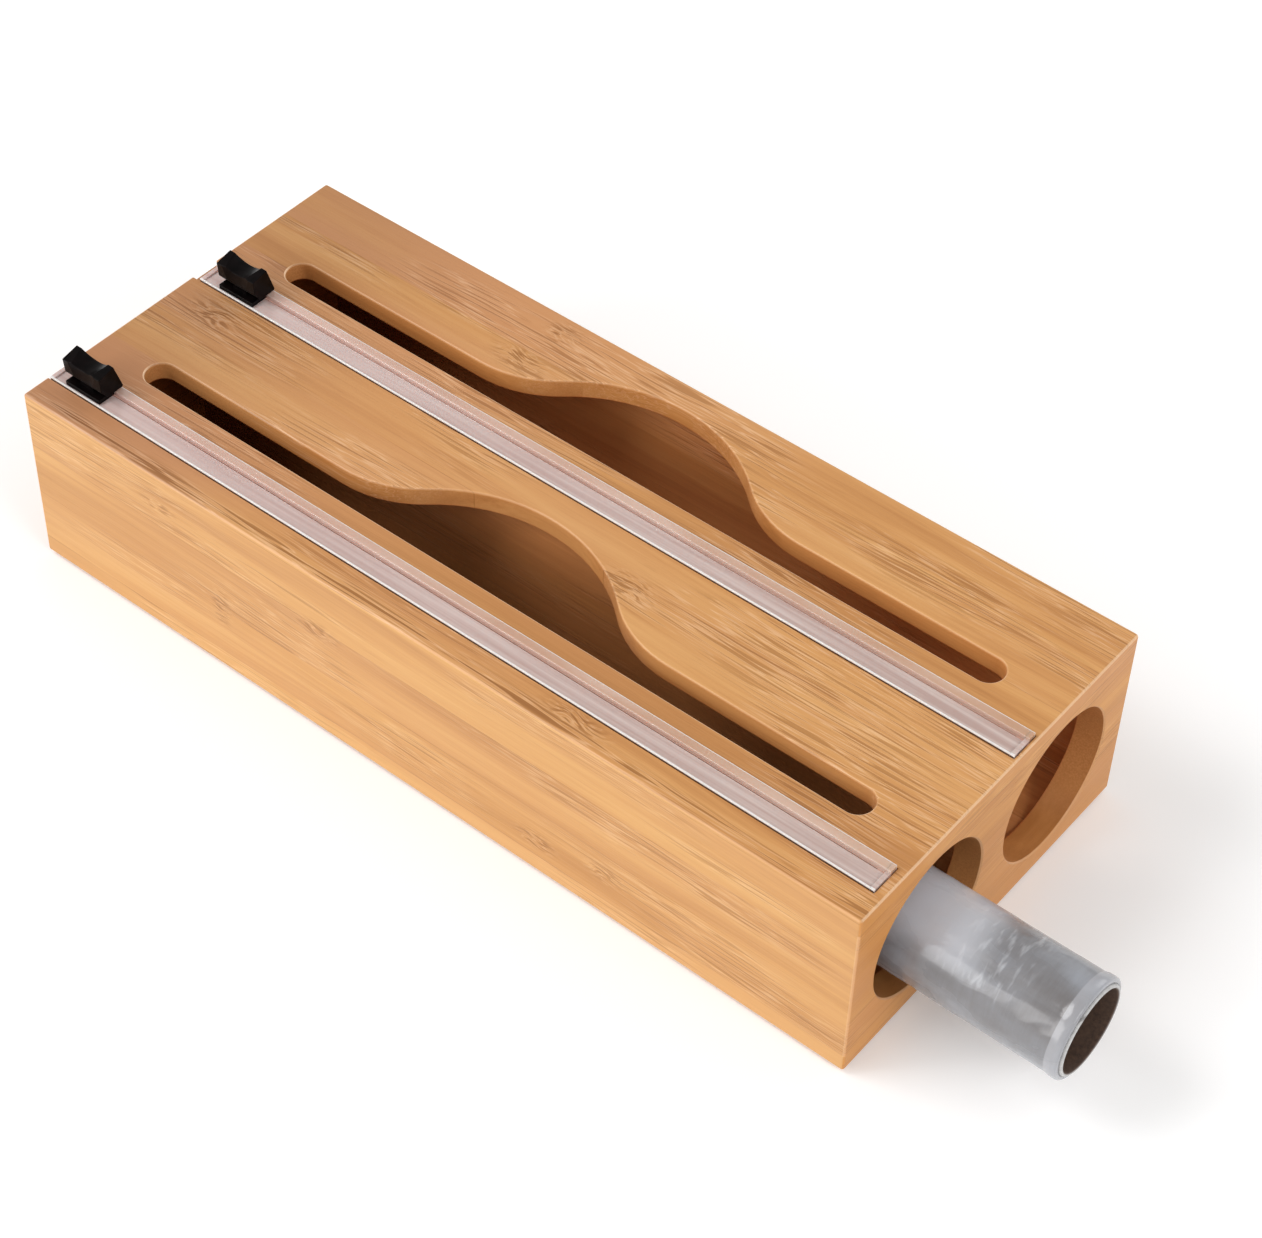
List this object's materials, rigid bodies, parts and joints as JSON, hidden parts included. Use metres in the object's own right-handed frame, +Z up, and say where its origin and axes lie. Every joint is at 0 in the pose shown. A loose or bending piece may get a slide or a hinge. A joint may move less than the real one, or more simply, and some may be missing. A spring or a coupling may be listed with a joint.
{
  "type": "cling film dispenser",
  "caption": "Bamboo box with side-by-side chambers for film rolls, wave-shaped film slots in the lid and black slide cutters that run on clear rails.",
  "frame": {"origin": "centre of the box's footprint, on the surface that the feet stand on", "axes": "+X along the box to the end with the ports, +Y from the front wall to the back, +Z up"},
  "size_m": [0.398, 0.1456, 0.0857],
  "materials": {
    "bamboo": "satin, sanded and oiled laminated bamboo",
    "dowel_wood": "plain beech",
    "clear_rail": "translucent clear extrusion",
    "adhesive_tape": "white double-sided tape",
    "slider_black": "satin black moulding",
    "blade_steel": "ground edge",
    "foot_rubber": "matt translucent grey",
    "cardboard": "rough spiral-wound paper tube",
    "cling_film": "glossy stretched film with wrinkles"
  },
  "bodies": {
    "housing": {"top_panel": "bamboo", "bottom_panel": "bamboo", "front_panel": "bamboo", "back_panel": "bamboo", "divider_panel": "bamboo", "left_end_panel": "bamboo", "right_end_panel": "bamboo", "dowels_left": "dowel_wood", "dowels_right": "dowel_wood", "foot_front_left": "foot_rubber", "rail_cap_front_left": "clear_rail", "foot_front_right": "foot_rubber", "rail_cap_front_right": "clear_rail", "rail_front": "clear_rail", "rail_tape_front": "adhesive_tape", "foot_rear_left": "foot_rubber", "rail_cap_rear_left": "clear_rail", "foot_rear_right": "foot_rubber", "rail_cap_rear_right": "clear_rail", "rail_rear": "clear_rail", "rail_tape_rear": "adhesive_tape"},
    "cutter_front": {"cutter_grip_front": "slider_black", "cutter_carriage_front": "slider_black", "cutter_blade_front_left": "blade_steel", "cutter_blade_front_right": "blade_steel"},
    "cutter_rear": {"cutter_grip_rear": "slider_black", "cutter_carriage_rear": "slider_black", "cutter_blade_rear_left": "blade_steel", "cutter_blade_rear_right": "blade_steel"},
    "film_core": {"roll_core": "cardboard"},
    "film_winding": {"roll_film": "cling_film"}
  },
  "joints": [
    {"name": "cutter_front_slide", "type": "slide", "parent": "housing", "child": "cutter_front", "axis": [1, 0, 0], "range_m": [-0.004, 0.311]},
    {"name": "cutter_rear_slide", "type": "slide", "parent": "housing", "child": "cutter_rear", "axis": [1, 0, 0], "range_m": [-0.006, 0.309]},
    {"name": "roll_slide", "type": "slide", "parent": "housing", "child": "film_core", "axis": [1, 0, 0], "range_m": [-0.087, 0.244]},
    {"name": "roll_spin", "type": "hinge", "parent": "film_core", "child": "film_winding", "pos_m": [0.078, -0.03375, 0.032], "axis": [1, 0, 0], "continuous": true}
  ]
}
